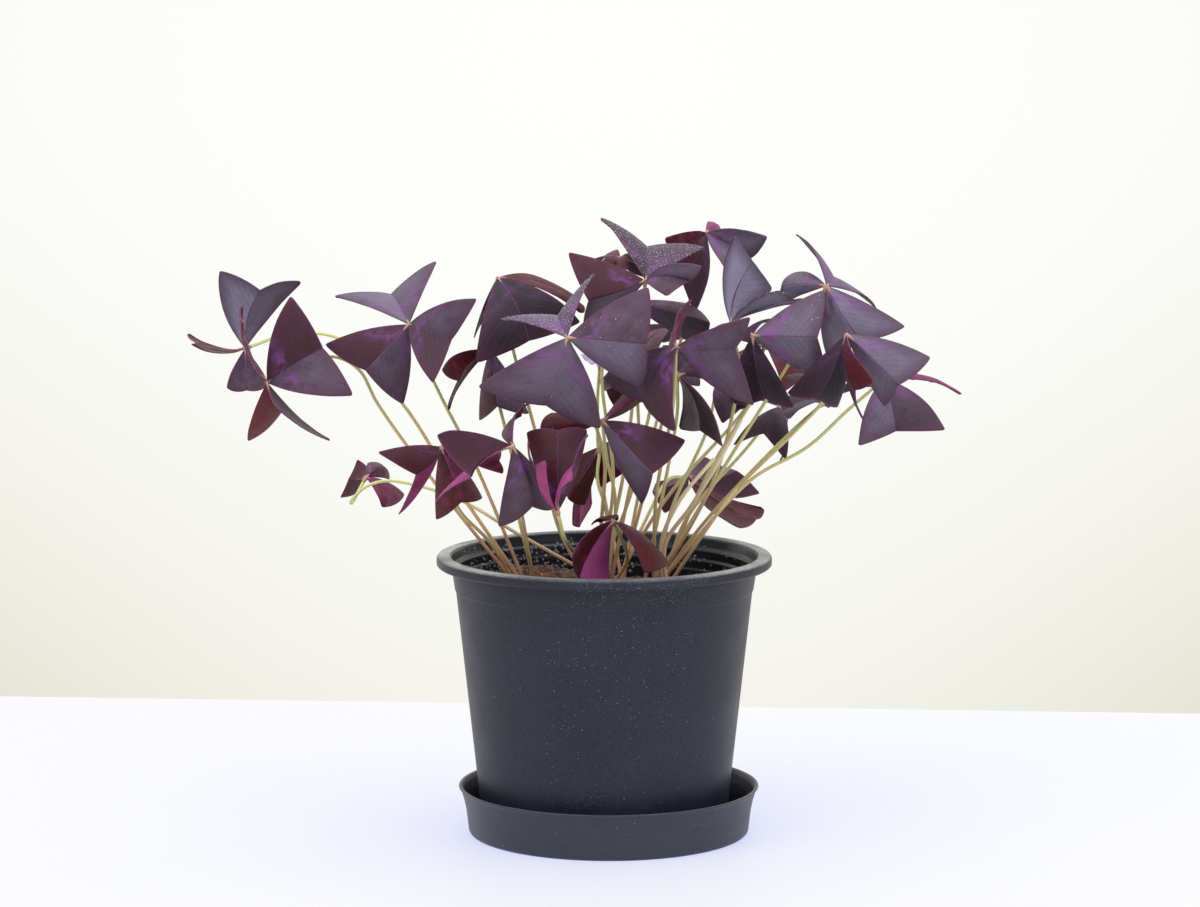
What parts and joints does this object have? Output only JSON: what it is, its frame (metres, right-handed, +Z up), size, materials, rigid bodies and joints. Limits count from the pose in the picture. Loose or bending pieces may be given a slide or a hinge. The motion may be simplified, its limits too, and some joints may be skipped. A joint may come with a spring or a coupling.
{
  "type": "potted shamrock plant",
  "caption": "Purple shamrock with triangular dark purple leaflets on long thin stalks, growing in a round black nursery pot on its saucer.",
  "frame": {"origin": "centre of the saucer's flat underside, where the assembly rests", "axes": "+Z up; +X to the right and +Y away, seen from the front of the plant"},
  "size_m": [0.3478, 0.2278, 0.2768],
  "materials": {
    "saucer_plastic": "satin black, lightly scratched",
    "pot_plastic": "satin black, dusty on the rim",
    "soil": "moist reddish-brown potting soil",
    "petiole": "fleshy stalk, yellow-green to salmon",
    "dry_stalk": "dry cream stalk",
    "petal": "thin pale lilac petal",
    "blade": "velvety dark purple leaf with a magenta patch, crimson below"
  },
  "bodies": {
    "root": {"saucer": "saucer_plastic", "pot": "pot_plastic", "soil": "soil", "petioles_left": "petiole", "petioles_middle": "petiole", "petioles_right": "petiole", "petioles_back": "petiole", "dry_stalks": "dry_stalk", "flower": "petal", "leaf_far_left_upper": "blade", "leaf_far_left_lower": "blade", "leaf_left_top": "blade", "leaf_left_middle": "blade", "leaf_front_large": "blade", "leaf_left_red": "blade", "leaf_left_low": "blade", "leaf_left_front": "blade", "leaf_back_left": "blade", "leaf_low_front": "blade", "leaf_low_left": "blade", "leaf_low_middle": "blade", "leaf_front_lower": "blade", "leaf_front_right": "blade", "leaf_right_upright": "blade", "leaf_right_dark": "blade", "leaf_right_front": "blade", "leaf_right_top": "blade", "leaf_far_right": "blade", "leaf_far_right_low": "blade", "leaf_right_low": "blade", "leaf_right_black": "blade", "leaf_back_right": "blade", "leaf_top_back": "blade", "leaf_top_middle": "blade", "leaf_top_right": "blade", "leaf_inner_left": "blade", "leaf_inner_front": "blade", "leaf_inner_top": "blade", "leaf_back_middle": "blade", "leaf_back_outer": "blade"}
  },
  "joints": []
}
